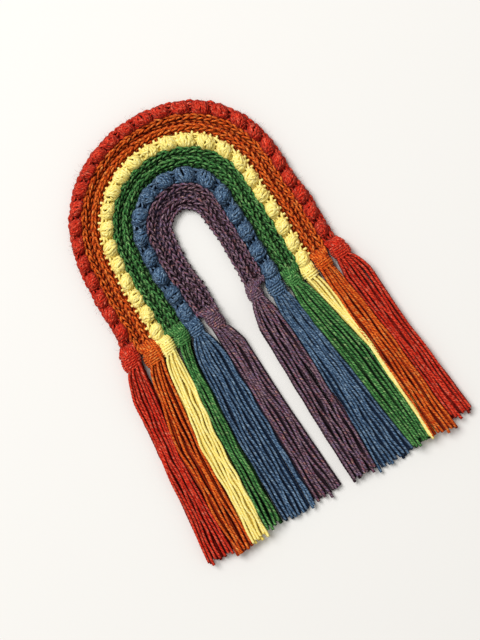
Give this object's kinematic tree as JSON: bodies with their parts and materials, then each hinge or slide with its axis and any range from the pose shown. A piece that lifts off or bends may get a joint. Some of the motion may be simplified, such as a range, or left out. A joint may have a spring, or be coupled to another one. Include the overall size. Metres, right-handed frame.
{
  "type": "crocheted rainbow wall hanging",
  "caption": "Arched wall hanging of nested crochet bands, bobble rows between ribbed rows, with a knotted yarn tassel at each band's end, lying flat.",
  "frame": {"origin": "middle of the hanging's footprint, on the surface that it lies on", "axes": "+X across the arch to the right, +Y from the tassels' tips up to the crown, +Z out of the bobbled face"},
  "size_m": [0.1902, 0.2661, 0.01],
  "materials": {
    "red_yarn": "soft spun yarn, slightly flecked",
    "orange_yarn": "soft spun yarn, slightly flecked",
    "yellow_yarn": "soft spun yarn",
    "green_yarn": "soft spun yarn, slightly flecked",
    "blue_yarn": "soft spun yarn, slightly flecked",
    "purple_yarn": "soft spun yarn, slightly flecked"
  },
  "bodies": {
    "root": {"band_red": "red_yarn", "band_orange": "orange_yarn", "band_yellow": "yellow_yarn", "band_green": "green_yarn", "band_blue": "blue_yarn", "band_purple": "purple_yarn", "tassel_red_left": "red_yarn", "tassel_orange_left": "orange_yarn", "tassel_yellow_left": "yellow_yarn", "tassel_green_left": "green_yarn", "tassel_blue_left": "blue_yarn", "tassel_purple_left": "purple_yarn", "tassel_purple_right": "purple_yarn", "tassel_blue_right": "blue_yarn", "tassel_green_right": "green_yarn", "tassel_yellow_right": "yellow_yarn", "tassel_orange_right": "orange_yarn", "tassel_red_right": "red_yarn"}
  },
  "joints": []
}
